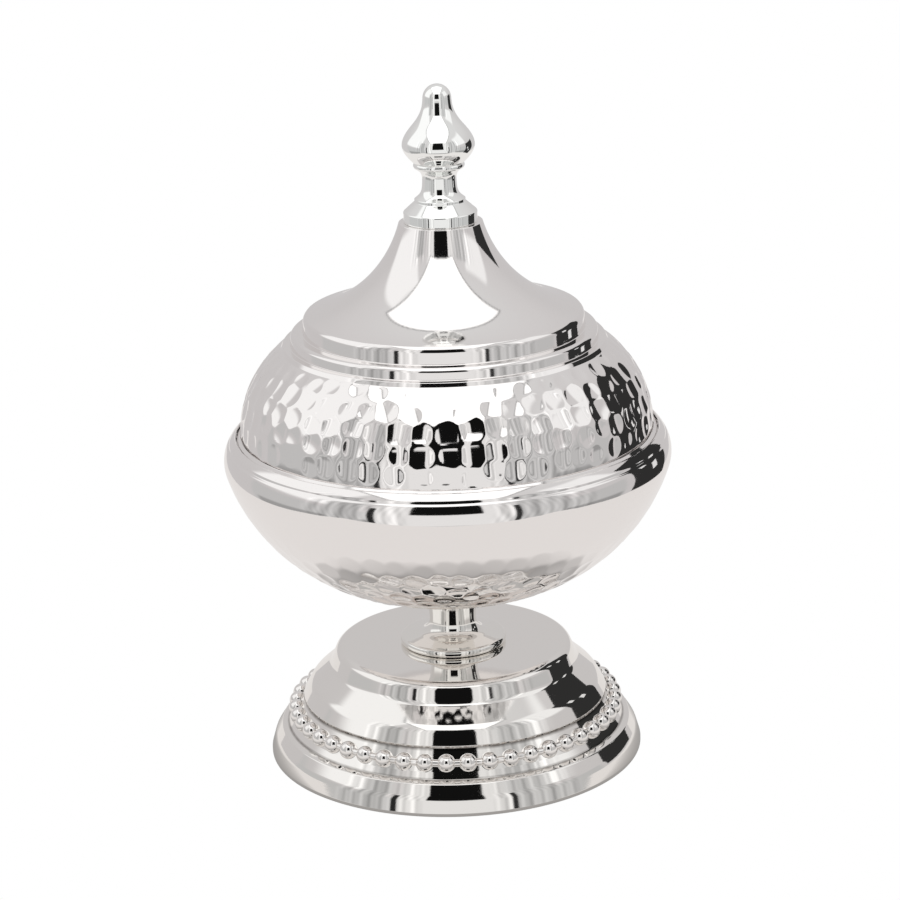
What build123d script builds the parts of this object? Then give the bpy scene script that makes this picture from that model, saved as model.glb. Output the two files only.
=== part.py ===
from build123d import *
import math
import os

# A footed date dish with a lift-off lid, spun and cast in silver-plated brass.
# Millimetres, +Z up, the axis of the dish is Z and it stands on z = 0.
# Every outline is a half section: its first number is a radius, its second a height.

# Foot: a spun shell, hollow below
FOOT_HEIGHT = 39.6
FOOT_RADIUS = 68.15
FOOT_WALL = 1.0
FOOT_TOP_RADIUS = 42.4
FOOT_TOP_DRAFT = 2.8
FOOT_TOP_EDGE = 3.6
FOOT_TOP_BAND = 6.7
FOOT_STEP_ROUND = 4.0
FOOT_SHOULDER_INSET = 12.55
FOOT_SHOULDER_HEIGHT = 21.35
FOOT_SHOULDER_DRAFT = 3.2
FOOT_SHOULDER_BAND = 5.25
FOOT_SHOULDER_ROUND = 9.0
FOOT_BAND_INSET = 4.25
FOOT_BAND_HEIGHT = 10.5
FOOT_COVE_WIDTH = 2.3
FOOT_COVE_RISE = 0.6
FOOT_BELLY_INSET = 1.45
FOOT_BELLY_HEIGHT = 6.2
FOOT_BELLY_ROUND = 6.0
FOOT_EDGE_HEIGHT = 1.2
SMALL_ROUND = 0.3
COVE_ROUND = 0.8

# Beaded wire round the foot
BEAD_RADIUS = 3.25
BEAD_COUNT = 48
BEAD_RING_INSET = 9.85
BEAD_RING_HEIGHT = 16.1
BEAD_WIRE_RADIUS = 1.3
BEAD_SEAT_DEPTH = 0.1
BEAD_SEAT_DEG = 33.0
BEAD_SEAT_RISE = 4.41
BEAD_SEAT_FALL = 2.64

# Stem: a cast spool between the foot and the bowl
STEM_HEIGHT = 22.45
STEM_WAIST_RADIUS = 8.5
STEM_WAIST_HEIGHT = 9.0
STEM_TOP_RADIUS = 12.5
STEM_DISC_RADIUS = 19.3
STEM_DISC_THICKNESS = 2.9
STEM_DISC_EDGE = 0.7
STEM_ROUND = 5.2
STEM_BEND_DEG = 82.0

# Bowl: a spun shell whose mouth is turned in and down to carry the lid
BOWL_ROUND = 66.7
BOWL_WALL = 1.2
RIM_RADIUS = 80.2
RIM_ROUND = 12.0
RIM_TANGENT_DEG = 17.5
MOUTH_INSET = 4.6
LEDGE_DROP = 2.8
LEDGE_WIDTH = 4.0
LEDGE_LIP = 2.4

# Lid: a spun shell on a locating ring that drops into the mouth
LID_WALL = 1.0
LID_FOOT_INSET = 0.2
LID_FOOT_FLARE = 1.2
LID_FOOT_BAND = 0.6
LID_FOOT_HEIGHT = 1.5
DOME_HEIGHT = 31.2
DOME_WIDTH = 15.8
DOME_ROUND = 38.0
LOWER_STEP_WIDTH = 0.8
LOWER_STEP_HEIGHT = 1.5
UPPER_STEP_WIDTH = 3.3
UPPER_STEP_HEIGHT = 4.1
UPPER_STEP_DRAFT = 0.4
UPPER_STEP_EDGE = 1.7
SHOULDER_WIDTH = 7.9
SHOULDER_HEIGHT = 6.05
SHOULDER_DRAFT = 0.2
SHOULDER_EDGE = 1.4
CONE_LIP_WIDTH = 1.2
CONE_LIP_FALL = 1.15
CONE_HEIGHT = 32.25
CONE_TOP_RADIUS = 14.8
CONE_ROUND = 46.0
RING_WALL = 1.0
RING_DEPTH = 6.0

# Finial: a casting screwed down on the lid from inside
FINIAL_HEIGHT = 48.5
FINIAL_TIP_RADIUS = 5.0
FINIAL_KNOB_RADIUS = 12.7
FINIAL_KNOB_LENGTH = 22.6
FINIAL_NECK_INSET = 0.3
KNOB_TIP_FLARE = 0.4
KNOB_HOLLOW_INSET = 5.3
KNOB_SWELL_INSET = 1.9
KNOB_TUCK_INSET = 1.5
KNOB_TIP_SHARE = 0.13
KNOB_HOLLOW_SHARE = 0.32
KNOB_SWELL_SHARE = 0.51
KNOB_WIDEST_SHARE = 0.74
KNOB_TUCK_SHARE = 0.88
FINIAL_BEAD_RADIUS = 9.0
FINIAL_BEAD_HEIGHT = 1.7
FINIAL_WAIST_RADIUS = 6.05
FINIAL_WAIST_HEIGHT = 13.7
FINIAL_RING_RADIUS = 8.95
FINIAL_RING_HEIGHT = 8.2
FINIAL_RING_BAND = 0.9
FINIAL_BASE_RADIUS = 13.0
FINIAL_BASE_HEIGHT = 3.7
FINIAL_BASE_EDGE = 0.8

# Fasteners
BOLT_RADIUS = 3.0
BOLT_HEAD_RADIUS = 6.0
BOLT_HEAD_HEIGHT = 3.0
BOLT_HEAD_ROUND = 1.0
BOLT_TAIL = 3.0
NUT_RADIUS = 6.4
NUT_HEIGHT = 5.0
SCREW_RADIUS = 2.0
SCREW_HEAD_RADIUS = 4.0
SCREW_HEAD_HEIGHT = 2.4
SCREW_HEAD_ROUND = 0.8
SCREW_GRIP = 11.0
BORE_SPARE = 1.0
SLOT_WIDTH = 1.2
SLOT_DEPTH = 1.2
WASHER_RADIUS = 9.0
WASHER_THICKNESS = 1.2
LID_WASHER_RADIUS = 7.0
LID_WASHER_THICKNESS = 0.8

# Clearances
HOLE_GAP = 0.2
THREAD_GAP = 0.05
LID_SEAT_GAP = 0.3
LID_SIDE_GAP = 0.3
RING_GAP = 0.6

# Radii and heights that follow from the stack
BOLT_HOLE = BOLT_RADIUS + HOLE_GAP
FOOT_SHOULDER_RADIUS = FOOT_RADIUS - FOOT_SHOULDER_INSET
FOOT_BAND_RADIUS = FOOT_RADIUS - FOOT_BAND_INSET
FOOT_BELLY_RADIUS = FOOT_RADIUS - FOOT_BELLY_INSET
BEAD_RING_RADIUS = FOOT_RADIUS - BEAD_RING_INSET
BOWL_Z = FOOT_HEIGHT + STEM_HEIGHT
RIM_TANGENT = math.radians(RIM_TANGENT_DEG)
RIM_CENTRE_RADIUS = RIM_RADIUS - RIM_ROUND
RIM_CENTRE_Z = BOWL_Z + BOWL_ROUND - (BOWL_ROUND - RIM_ROUND) * math.sin(RIM_TANGENT)
BOWL_CENTRE_RADIUS = RIM_CENTRE_RADIUS - (BOWL_ROUND - RIM_ROUND) * math.cos(RIM_TANGENT)
MOUTH_RADIUS = RIM_RADIUS - MOUTH_INSET
MOUTH_Z = RIM_CENTRE_Z + math.sqrt(RIM_ROUND**2 - (MOUTH_RADIUS - RIM_CENTRE_RADIUS)**2)
LEDGE_Z = MOUTH_Z - LEDGE_DROP
LEDGE_RADIUS = MOUTH_RADIUS - LEDGE_WIDTH
LID_Z = LEDGE_Z + LID_SEAT_GAP
LID_RADIUS = MOUTH_RADIUS - LID_SIDE_GAP
SKIRT_RADIUS = LEDGE_RADIUS - RING_GAP
DOME_TOP_RADIUS = LID_RADIUS - LID_FOOT_INSET - LID_FOOT_FLARE - DOME_WIDTH
DOME_Z = LID_Z + RING_WALL + LID_FOOT_HEIGHT
STEP_Z = DOME_Z + DOME_HEIGHT
SHOULDER_Z = STEP_Z + LOWER_STEP_HEIGHT + UPPER_STEP_HEIGHT
SHOULDER_RADIUS = DOME_TOP_RADIUS - SHOULDER_WIDTH
CONE_Z = SHOULDER_Z + SHOULDER_HEIGHT
CONE_FOOT_RADIUS = SHOULDER_RADIUS - SHOULDER_DRAFT - CONE_LIP_WIDTH
LID_TOP_Z = CONE_Z + CONE_HEIGHT


def turned(outline):
    """The solid that a closed half section sweeps about the axis."""
    return revolve(Plane.XZ * make_face(outline), axis=Axis.Z)


def spun(outline, wall, side):
    """A sheet-metal shell of one wall thickness behind an open half section."""
    section = Wire(outline.edges()).offset_2d(wall, kind=Kind.INTERSECTION, side=side, closed=True)
    return turned(section)


def filleted(corners):
    """A line through corners of (radius, height, fillet); its ends have no fillet."""
    points = [corner[:2] for corner in corners]
    return FilletPolyline(*points, radius=[corner[2] for corner in corners[1:-1]])


def foot_outline():
    """The foot's outside, from the bolt hole in its flat top to the edge it stands on."""
    normal = math.radians(BEAD_SEAT_DEG)
    slope = math.tan(normal)
    seat_r = BEAD_RING_RADIUS - BEAD_SEAT_DEPTH * math.cos(normal)
    seat_z = BEAD_RING_HEIGHT - BEAD_SEAT_DEPTH * math.sin(normal)
    band_z = FOOT_HEIGHT - FOOT_TOP_BAND
    shoulder_z = FOOT_SHOULDER_HEIGHT + FOOT_SHOULDER_BAND
    return filleted([
        (BOLT_HOLE, FOOT_HEIGHT),
        (FOOT_TOP_RADIUS, FOOT_HEIGHT, FOOT_TOP_EDGE),
        (FOOT_TOP_RADIUS + FOOT_TOP_DRAFT, band_z, FOOT_STEP_ROUND),
        (FOOT_SHOULDER_RADIUS - FOOT_SHOULDER_DRAFT, shoulder_z, FOOT_SHOULDER_ROUND),
        (FOOT_SHOULDER_RADIUS, FOOT_SHOULDER_HEIGHT, SMALL_ROUND),
        (seat_r - BEAD_SEAT_RISE * slope, seat_z + BEAD_SEAT_RISE, SMALL_ROUND),
        (seat_r + BEAD_SEAT_FALL * slope, seat_z - BEAD_SEAT_FALL, COVE_ROUND),
        (FOOT_BAND_RADIUS - FOOT_COVE_WIDTH, FOOT_BAND_HEIGHT + FOOT_COVE_RISE, COVE_ROUND),
        (FOOT_BAND_RADIUS, FOOT_BAND_HEIGHT, COVE_ROUND),
        (FOOT_BELLY_RADIUS, FOOT_BELLY_HEIGHT, FOOT_BELLY_ROUND),
        (FOOT_RADIUS, FOOT_EDGE_HEIGHT, SMALL_ROUND),
        (FOOT_RADIUS, 0),
    ])


def foot_shell():
    """The foot's sheet metal."""
    return spun(foot_outline(), FOOT_WALL, Side.RIGHT)


def pearl_band():
    """The beaded wire: round beads run together on a ring of wire, flat to the foot behind."""
    band = Pos(0, 0, BEAD_RING_HEIGHT) * Torus(BEAD_RING_RADIUS, BEAD_WIRE_RADIUS)
    places = PolarLocations(BEAD_RING_RADIUS, BEAD_COUNT, start_angle=180 / BEAD_COUNT)
    beads = [Pos(0, 0, BEAD_RING_HEIGHT) * place * Sphere(BEAD_RADIUS) for place in places]
    inner_edge = Polyline((FOOT_RADIUS, 0), (BOLT_HOLE, 0), (BOLT_HOLE, FOOT_HEIGHT))
    within_foot = turned(foot_outline() + inner_edge)
    return band + beads - within_foot


def stem():
    """The spool, bored for the tie bolt."""
    waist_z = FOOT_HEIGHT + STEM_WAIST_HEIGHT
    bend = math.radians(STEM_BEND_DEG)
    bend_r = STEM_WAIST_RADIUS + STEM_ROUND * (1 - math.cos(bend))
    bend_z = waist_z - STEM_ROUND * math.sin(bend)
    rise = BOWL_Z - waist_z
    flare = STEM_TOP_RADIUS - STEM_WAIST_RADIUS
    flare_round = (rise**2 + flare**2) / (2 * flare)
    upper = RadiusArc((STEM_TOP_RADIUS, BOWL_Z), (STEM_WAIST_RADIUS, waist_z), -flare_round)
    lower = RadiusArc((STEM_WAIST_RADIUS, waist_z), (bend_r, bend_z), -STEM_ROUND)
    base = filleted([
        (bend_r, bend_z),
        (STEM_DISC_RADIUS, FOOT_HEIGHT + STEM_DISC_THICKNESS, STEM_DISC_EDGE),
        (STEM_DISC_RADIUS, FOOT_HEIGHT, SMALL_ROUND),
        (BOLT_HOLE, FOOT_HEIGHT, 0),
        (BOLT_HOLE, BOWL_Z, 0),
        (STEM_TOP_RADIUS, BOWL_Z),
    ])
    return turned(upper + lower + base)


def bowl_face(offset, mouth_radius):
    """One face of the bowl's sheet, offset inwards, from the bottom up to a mouth radius."""
    bowl_centre = (BOWL_CENTRE_RADIUS, BOWL_Z + BOWL_ROUND)
    rim_centre = (RIM_CENTRE_RADIUS, RIM_CENTRE_Z)
    rim_start = -RIM_TANGENT_DEG
    rim_end = math.degrees(math.acos((mouth_radius - RIM_CENTRE_RADIUS) / (RIM_ROUND - offset)))
    face = Line((BOLT_HOLE, BOWL_Z + offset), (BOWL_CENTRE_RADIUS, BOWL_Z + offset))
    face += CenterArc(bowl_centre, BOWL_ROUND - offset, -90, 90 + rim_start)
    face += CenterArc(rim_centre, RIM_ROUND - offset, rim_start, rim_end - rim_start)
    return face


def bowl_shell():
    """The bowl, from its bolt hole out, up over the rolled rim and down to the ledge."""
    back_radius = MOUTH_RADIUS + BOWL_WALL
    back_rise = math.sqrt((RIM_ROUND - BOWL_WALL)**2 - (back_radius - RIM_CENTRE_RADIUS)**2)
    outside = bowl_face(0, MOUTH_RADIUS)
    inside = bowl_face(BOWL_WALL, back_radius)
    mouth = Polyline(
        (MOUTH_RADIUS, MOUTH_Z),
        (MOUTH_RADIUS, LEDGE_Z),
        (LEDGE_RADIUS, LEDGE_Z),
        (LEDGE_RADIUS, LEDGE_Z - LEDGE_LIP),
        (LEDGE_RADIUS + BOWL_WALL, LEDGE_Z - LEDGE_LIP),
        (LEDGE_RADIUS + BOWL_WALL, LEDGE_Z - BOWL_WALL),
        (back_radius, LEDGE_Z - BOWL_WALL),
        (back_radius, RIM_CENTRE_Z + back_rise),
    )
    hole = Line((BOLT_HOLE, BOWL_Z), (BOLT_HOLE, BOWL_Z + BOWL_WALL))
    return turned(outside + mouth + inside + hole)


def lid_shell():
    """The lid, from the screw hole at its top down the cone, steps and dome."""
    foot_r = LID_RADIUS - LID_FOOT_INSET
    foot_z = LID_Z + RING_WALL
    cone_foot = (CONE_FOOT_RADIUS, CONE_Z)
    dome_top = (DOME_TOP_RADIUS, STEP_Z)
    dome_foot = (foot_r - LID_FOOT_FLARE, DOME_Z)
    upper_step_r = DOME_TOP_RADIUS - UPPER_STEP_WIDTH
    outline = Line((SCREW_RADIUS + HOLE_GAP, LID_TOP_Z), (CONE_TOP_RADIUS, LID_TOP_Z))
    outline += RadiusArc((CONE_TOP_RADIUS, LID_TOP_Z), cone_foot, -CONE_ROUND)
    outline += filleted([
        (*cone_foot, 0),
        (CONE_FOOT_RADIUS + CONE_LIP_WIDTH, CONE_Z - CONE_LIP_FALL, SHOULDER_EDGE),
        (SHOULDER_RADIUS, SHOULDER_Z, SMALL_ROUND),
        (upper_step_r - UPPER_STEP_DRAFT, SHOULDER_Z, UPPER_STEP_EDGE),
        (upper_step_r, STEP_Z + LOWER_STEP_HEIGHT, SMALL_ROUND),
        (DOME_TOP_RADIUS - LOWER_STEP_WIDTH, STEP_Z + LOWER_STEP_HEIGHT, SMALL_ROUND),
        (*dome_top, 0),
    ])
    outline += RadiusArc(dome_top, dome_foot, DOME_ROUND)
    outline += filleted([
        (*dome_foot, 0),
        (foot_r, foot_z + LID_FOOT_BAND, SMALL_ROUND),
        (foot_r, foot_z, 0),
    ])
    return spun(outline, LID_WALL, Side.RIGHT)


def lid_ring():
    """The locating ring under the lid: a flange on the ledge and a skirt in the mouth."""
    return turned(Polyline(
        (SKIRT_RADIUS, LID_Z),
        (LID_RADIUS, LID_Z),
        (LID_RADIUS, LID_Z + RING_WALL),
        (SKIRT_RADIUS - RING_WALL, LID_Z + RING_WALL),
        (SKIRT_RADIUS - RING_WALL, LID_Z - RING_DEPTH),
        (SKIRT_RADIUS, LID_Z - RING_DEPTH),
        close=True,
    ))


def finial():
    """The finial: a tip, a knob, a bead, a waist, a ring and a base, bored from below."""
    top = LID_TOP_Z + FINIAL_HEIGHT
    tip_z = top - FINIAL_TIP_RADIUS
    bead_top = tip_z - FINIAL_KNOB_LENGTH
    bead_foot = bead_top - FINIAL_BEAD_HEIGHT
    ring_z = LID_TOP_Z + FINIAL_RING_HEIGHT
    neck = FINIAL_BEAD_RADIUS - FINIAL_NECK_INSET
    knob = FINIAL_KNOB_RADIUS
    length = FINIAL_KNOB_LENGTH
    bore = SCREW_RADIUS + THREAD_GAP
    bore_end = LID_TOP_Z + SCREW_GRIP + BORE_SPARE
    outline = CenterArc((0, tip_z), FINIAL_TIP_RADIUS, 90, -90)
    outline += Spline(
        (FINIAL_TIP_RADIUS, tip_z),
        (FINIAL_TIP_RADIUS + KNOB_TIP_FLARE, tip_z - KNOB_TIP_SHARE * length),
        (knob - KNOB_HOLLOW_INSET, tip_z - KNOB_HOLLOW_SHARE * length),
        (knob - KNOB_SWELL_INSET, tip_z - KNOB_SWELL_SHARE * length),
        (knob, tip_z - KNOB_WIDEST_SHARE * length),
        (knob - KNOB_TUCK_INSET, tip_z - KNOB_TUCK_SHARE * length),
        (neck, bead_top),
    )
    outline += ThreePointArc(
        (neck, bead_top),
        (FINIAL_BEAD_RADIUS, bead_top - FINIAL_BEAD_HEIGHT / 2),
        (neck, bead_foot),
    )
    outline += ThreePointArc(
        (neck, bead_foot),
        (FINIAL_WAIST_RADIUS, LID_TOP_Z + FINIAL_WAIST_HEIGHT),
        (FINIAL_RING_RADIUS, ring_z),
    )
    outline += filleted([
        (FINIAL_RING_RADIUS, ring_z),
        (FINIAL_RING_RADIUS, ring_z - FINIAL_RING_BAND, SMALL_ROUND),
        (FINIAL_BASE_RADIUS, LID_TOP_Z + FINIAL_BASE_HEIGHT, FINIAL_BASE_EDGE),
        (FINIAL_BASE_RADIUS, LID_TOP_Z, SMALL_ROUND),
        (bore, LID_TOP_Z, 0),
        (bore, bore_end, 0),
        (0, bore_end + bore, 0),
        (0, top),
    ])
    return turned(outline)


def upright_cylinder(radius, bottom, top):
    """A cylinder on the axis between two heights."""
    body = Cylinder(radius, top - bottom, align=(Align.CENTER, Align.CENTER, Align.MIN))
    return Pos(0, 0, bottom) * body


def slotted_head(radius, seat_z, face_z, edge_round):
    """A round head between its seat and its slotted face, which may look up or down."""
    head = upright_cylinder(radius, min(seat_z, face_z), max(seat_z, face_z))
    face_edge = head.edges().sort_by(lambda edge: abs(edge.center().Z - face_z))[0]
    head = fillet(face_edge, edge_round)
    slot = Box(2 * radius, SLOT_WIDTH, 2 * SLOT_DEPTH)
    return head - Pos(0, 0, face_z) * slot


def washer(radius, bore, bottom, thickness):
    """A flat ring with its lower face at the height bottom."""
    top = bottom + thickness
    return upright_cylinder(radius, bottom, top) - upright_cylinder(bore, bottom, top)


def tie_bolt():
    """The bolt that draws bowl, stem and foot together, its head inside the bowl."""
    seat_z = BOWL_Z + BOWL_WALL + WASHER_THICKNESS
    nut_z = FOOT_HEIGHT - FOOT_WALL - WASHER_THICKNESS - NUT_HEIGHT
    shank = upright_cylinder(BOLT_RADIUS, nut_z - BOLT_TAIL, seat_z)
    face_z = seat_z + BOLT_HEAD_HEIGHT
    return shank + slotted_head(BOLT_HEAD_RADIUS, seat_z, face_z, BOLT_HEAD_ROUND)


def bowl_washer():
    """The washer under the bolt's head."""
    return washer(WASHER_RADIUS, BOLT_HOLE, BOWL_Z + BOWL_WALL, WASHER_THICKNESS)


def foot_washer():
    """The washer between the foot's top and the nut."""
    bottom = FOOT_HEIGHT - FOOT_WALL - WASHER_THICKNESS
    return washer(WASHER_RADIUS, BOLT_HOLE, bottom, WASHER_THICKNESS)


def tie_nut():
    """The hexagon nut inside the foot."""
    bottom = FOOT_HEIGHT - FOOT_WALL - WASHER_THICKNESS - NUT_HEIGHT
    hexagon = Pos(0, 0, bottom) * extrude(RegularPolygon(NUT_RADIUS, 6), NUT_HEIGHT)
    return hexagon - upright_cylinder(BOLT_RADIUS + THREAD_GAP, bottom, bottom + NUT_HEIGHT)


def finial_washer():
    """The washer under the lid's top, round the finial's screw."""
    bottom = LID_TOP_Z - LID_WALL - LID_WASHER_THICKNESS
    return washer(LID_WASHER_RADIUS, SCREW_RADIUS + HOLE_GAP, bottom, LID_WASHER_THICKNESS)


def finial_screw():
    """The screw that holds the finial, its head inside the lid."""
    seat_z = LID_TOP_Z - LID_WALL - LID_WASHER_THICKNESS
    shank = upright_cylinder(SCREW_RADIUS, seat_z, LID_TOP_Z + SCREW_GRIP)
    face_z = seat_z - SCREW_HEAD_HEIGHT
    return shank + slotted_head(SCREW_HEAD_RADIUS, seat_z, face_z, SCREW_HEAD_ROUND)


PIECES = [
    foot_shell,
    pearl_band,
    stem,
    bowl_shell,
    tie_bolt,
    bowl_washer,
    foot_washer,
    tie_nut,
    lid_shell,
    lid_ring,
    finial,
    finial_washer,
    finial_screw,
]

os.makedirs("parts", exist_ok=True)
for piece in PIECES:
    export_step(piece(), f"parts/{piece.__name__}.step")
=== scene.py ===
import logging
import math
from dataclasses import dataclass
from enum import Enum
from typing import Optional, Sequence

import bpy
import numpy as np
from mathutils import Matrix


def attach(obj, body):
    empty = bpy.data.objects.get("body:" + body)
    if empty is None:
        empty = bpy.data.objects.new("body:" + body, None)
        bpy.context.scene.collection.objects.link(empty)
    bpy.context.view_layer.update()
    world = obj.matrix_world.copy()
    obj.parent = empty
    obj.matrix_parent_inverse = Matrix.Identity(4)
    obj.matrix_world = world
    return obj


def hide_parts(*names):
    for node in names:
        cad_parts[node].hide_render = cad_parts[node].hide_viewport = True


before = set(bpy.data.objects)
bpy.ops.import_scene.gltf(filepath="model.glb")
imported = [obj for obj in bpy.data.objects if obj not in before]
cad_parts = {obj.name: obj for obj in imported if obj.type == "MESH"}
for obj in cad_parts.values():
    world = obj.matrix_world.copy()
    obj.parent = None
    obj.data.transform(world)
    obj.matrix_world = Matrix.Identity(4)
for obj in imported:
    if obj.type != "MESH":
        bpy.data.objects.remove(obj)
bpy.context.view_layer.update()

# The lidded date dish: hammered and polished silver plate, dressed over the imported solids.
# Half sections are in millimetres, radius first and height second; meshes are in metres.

LOG = logging.getLogger("date_dish")
MM = 0.001
TAU = 2 * math.pi

# How near the axis a point lies on it, and how near two points are one, in millimetres.
ON_AXIS = 1e-6
SAME_POINT = 1e-5
SAME_END = 1e-4

# A corner that turns further than this, in degrees, is a sharp edge.
SHARP_DEG = 20.0


# Half sections


@dataclass(frozen=True)
class Corner:
    """A corner of a half section: its radius, its height and the fillet that rounds it."""

    r: float
    z: float
    fillet: float = 0.0


class Outline:
    """A half section gathered run by run, as closely spaced points in millimetres."""

    ARC_STEP_DEG = 9.0
    SUPPORT = 0.16
    SUPPORT_ROOM = 3 * SUPPORT
    STRAIGHT = 1e-3

    def __init__(self, r: float, z: float) -> None:
        """Start the outline at one point.

        Args:
            r: Radius of the first point.
            z: Height of the first point.
        """
        self.points: list[tuple[float, float]] = [(r, z)]
        self.marked: list[float] = [math.nan]

    def _add(self, r: float, z: float, mark: float = math.nan) -> None:
        """Add one point, unless it repeats the last one.

        Args:
            r: Its radius.
            z: Its height.
            mark: Its length along a hammered band, or nan where it is plain.
        """
        last = self.points[-1]
        if math.hypot(r - last[0], z - last[1]) > SAME_POINT:
            self.points.append((r, z))
            self.marked.append(mark)
        elif not math.isnan(mark):
            self.marked[-1] = mark

    def line(self, r: float, z: float) -> "Outline":
        """Run straight to a point.

        Args:
            r: Its radius.
            z: Its height.

        Returns:
            The outline.
        """
        self._add(r, z)
        return self

    def arc(
        self,
        centre: tuple[float, float],
        radius: float,
        start: float,
        end: float,
        step: float = 1.0,
        marks_from: float = math.nan,
    ) -> "Outline":
        """Follow an arc about a centre.

        Args:
            centre: Radius and height of the arc's centre.
            radius: The arc's own radius.
            start: Angle of its first point in degrees, from straight outwards.
            end: Angle of its last point in degrees.
            step: Longest distance between two points.
            marks_from: Length along a hammered band at the arc's start, or nan where it is plain.

        Returns:
            The outline.
        """
        sweep = math.radians(abs(end - start))
        count = max(
            2, math.ceil(sweep * radius / step), math.ceil(abs(end - start) / self.ARC_STEP_DEG)
        )
        for k in range(count + 1):
            angle = math.radians(start + (end - start) * k / count)
            self._add(
                centre[0] + radius * math.cos(angle),
                centre[1] + radius * math.sin(angle),
                marks_from + radius * sweep * k / count,
            )
        return self

    def bow(
        self, r: float, z: float, radius: float, step: float = 1.0, marks_from: float = math.nan
    ) -> "Outline":
        """Follow an arc of a given radius from the last point to another one.

        Args:
            r: Radius of the arc's end.
            z: Height of the arc's end.
            radius: The arc's radius: positive where its centre lies to the left of the run.
            step: Longest distance between two points.
            marks_from: Length along a hammered band at the arc's start, or nan.

        Returns:
            The outline.
        """
        a, b = np.array(self.points[-1]), np.array((r, z))
        chord = float(np.linalg.norm(b - a))
        left = np.array((a[1] - b[1], b[0] - a[0])) / chord
        rise = math.sqrt(radius**2 - chord**2 / 4)
        centre = (a + b) / 2 + left * math.copysign(rise, radius)
        return self._swing(centre, abs(radius), a, b, step, marks_from)

    def _swing(
        self,
        centre: np.ndarray,
        radius: float,
        first: np.ndarray,
        last: np.ndarray,
        step: float = 1.0,
        marks_from: float = math.nan,
    ) -> "Outline":
        """Follow the shorter arc about a centre from one point to another.

        Args:
            centre: Radius and height of the arc's centre.
            radius: The arc's own radius.
            first: Where it starts.
            last: Where it ends.
            step: Longest distance between two points.
            marks_from: Length along a hammered band at the arc's start, or nan.

        Returns:
            The outline.
        """
        start, end = (
            math.degrees(math.atan2(place[1] - centre[1], place[0] - centre[0]))
            for place in (first, last)
        )
        turn = (end - start + 180) % 360 - 180
        return self.arc((centre[0], centre[1]), radius, start, start + turn, step, marks_from)

    def corners(self, corners: Sequence[Corner]) -> "Outline":
        """Run through filleted corners; the last one has no fillet.

        Args:
            corners: The corners after the outline's last point.

        Returns:
            The outline.
        """
        path = [np.array(self.points[-1])] + [np.array((c.r, c.z)) for c in corners]
        for k, corner in enumerate(corners[:-1], start=1):
            back = path[k - 1] - path[k]
            ahead = path[k + 1] - path[k]
            back_length, ahead_length = np.linalg.norm(back), np.linalg.norm(ahead)
            back, ahead = back / back_length, ahead / ahead_length
            opening = math.acos(float(np.clip(back @ ahead, -1, 1)))
            reach = corner.fillet / math.tan(opening / 2)
            if corner.fillet <= 0 or math.pi - opening < self.STRAIGHT:
                self._add(*path[k])
                continue
            first, last = path[k] + back * reach, path[k] + ahead * reach
            bisector = (back + ahead) / np.linalg.norm(back + ahead)
            centre = path[k] + bisector * corner.fillet / math.sin(opening / 2)
            if back_length - reach > self.SUPPORT_ROOM:
                self._add(*(first + back * self.SUPPORT))
            self._swing(centre, corner.fillet, first, last)
            if ahead_length - reach > self.SUPPORT_ROOM:
                self._add(*(last + ahead * self.SUPPORT))
        return self.line(float(path[-1][0]), float(path[-1][1]))

    def spline(self, through: Sequence[tuple[float, float]], per_span: int = 9) -> "Outline":
        """Follow a smooth curve from the last point through others.

        Args:
            through: The points after the outline's last one.
            per_span: How many points each span gets.

        Returns:
            The outline.
        """
        knots = np.array([self.points[-1], *through], float)
        spans = np.linalg.norm(np.diff(knots, axis=0), axis=1)
        n = len(knots)
        system, right = np.eye(n), np.zeros((n, 2))
        for k in range(1, n - 1):
            system[k, k - 1 : k + 2] = spans[k - 1], 2 * (spans[k - 1] + spans[k]), spans[k]
            right[k] = 6 * (
                (knots[k + 1] - knots[k]) / spans[k] - (knots[k] - knots[k - 1]) / spans[k - 1]
            )
        bend = np.linalg.solve(system, right)
        for k in range(n - 1):
            for u in np.linspace(0, 1, per_span + 1)[1:]:
                a, b = 1 - u, u
                point = a * knots[k] + b * knots[k + 1]
                point += ((a**3 - a) * bend[k] + (b**3 - b) * bend[k + 1]) * spans[k] ** 2 / 6
                self._add(float(point[0]), float(point[1]))
        return self

    def groove(self, r: float, z: float, depth: float, width: float) -> "Outline":
        """Sink a soft turned groove into the points near one place.

        Args:
            r: Radius of the groove's middle.
            z: Height of the groove's middle.
            depth: How deep it is at its middle.
            width: How far from its middle it has fallen to a third of its depth.

        Returns:
            The outline.
        """
        path = np.array(self.points)
        tangent = np.gradient(path, axis=0)
        tangent /= np.linalg.norm(tangent, axis=1, keepdims=True) + 1e-12
        normal = np.stack([tangent[:, 1], -tangent[:, 0]], axis=1)
        away = np.hypot(path[:, 0] - r, path[:, 1] - z)
        sunk = path - normal * (depth * np.exp(-((away / width) ** 2)))[:, None]
        self.points = [(float(a), float(b)) for a, b in sunk]
        return self


# Hammer marks


@dataclass(frozen=True)
class HammerRow:
    """One row of hammer marks: its place along the band, its depth and how hollow its marks are."""

    along: float
    depth: float
    hollow: float


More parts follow.
